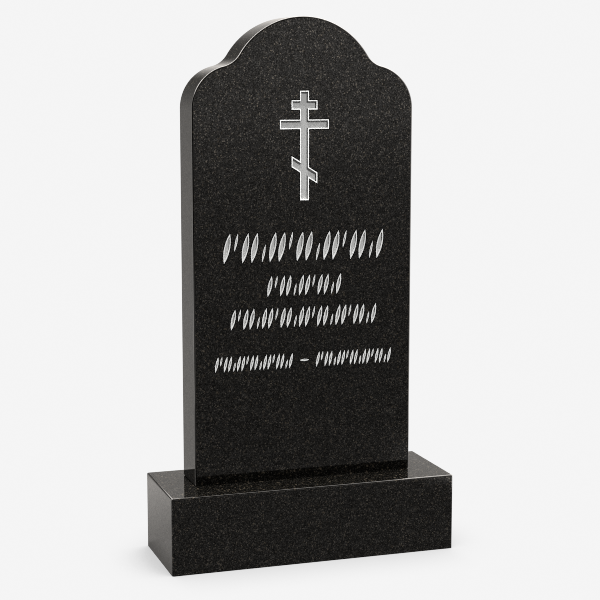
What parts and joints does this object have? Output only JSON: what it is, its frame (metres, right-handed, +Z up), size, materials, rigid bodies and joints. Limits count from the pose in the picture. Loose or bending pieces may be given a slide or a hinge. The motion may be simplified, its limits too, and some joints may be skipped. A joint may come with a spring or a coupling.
{
  "type": "headstone",
  "caption": "Upright polished granite headstone with a rounded three-lobed head, a sunk three-bar cross and rows of engraved strokes, standing on a rectangular plinth.",
  "frame": {"origin": "middle of the plinth's underside, on the ground", "axes": "+Z up, +X to the right as the carved front is seen, so the carved front faces -Y"},
  "size_m": [0.64, 0.234, 1.168],
  "materials": {
    "polished_granite": "mirror-polished black granite with fine brownish-grey crystals"
  },
  "bodies": {
    "root": {"stele": "polished_granite", "plinth": "polished_granite"}
  },
  "joints": []
}
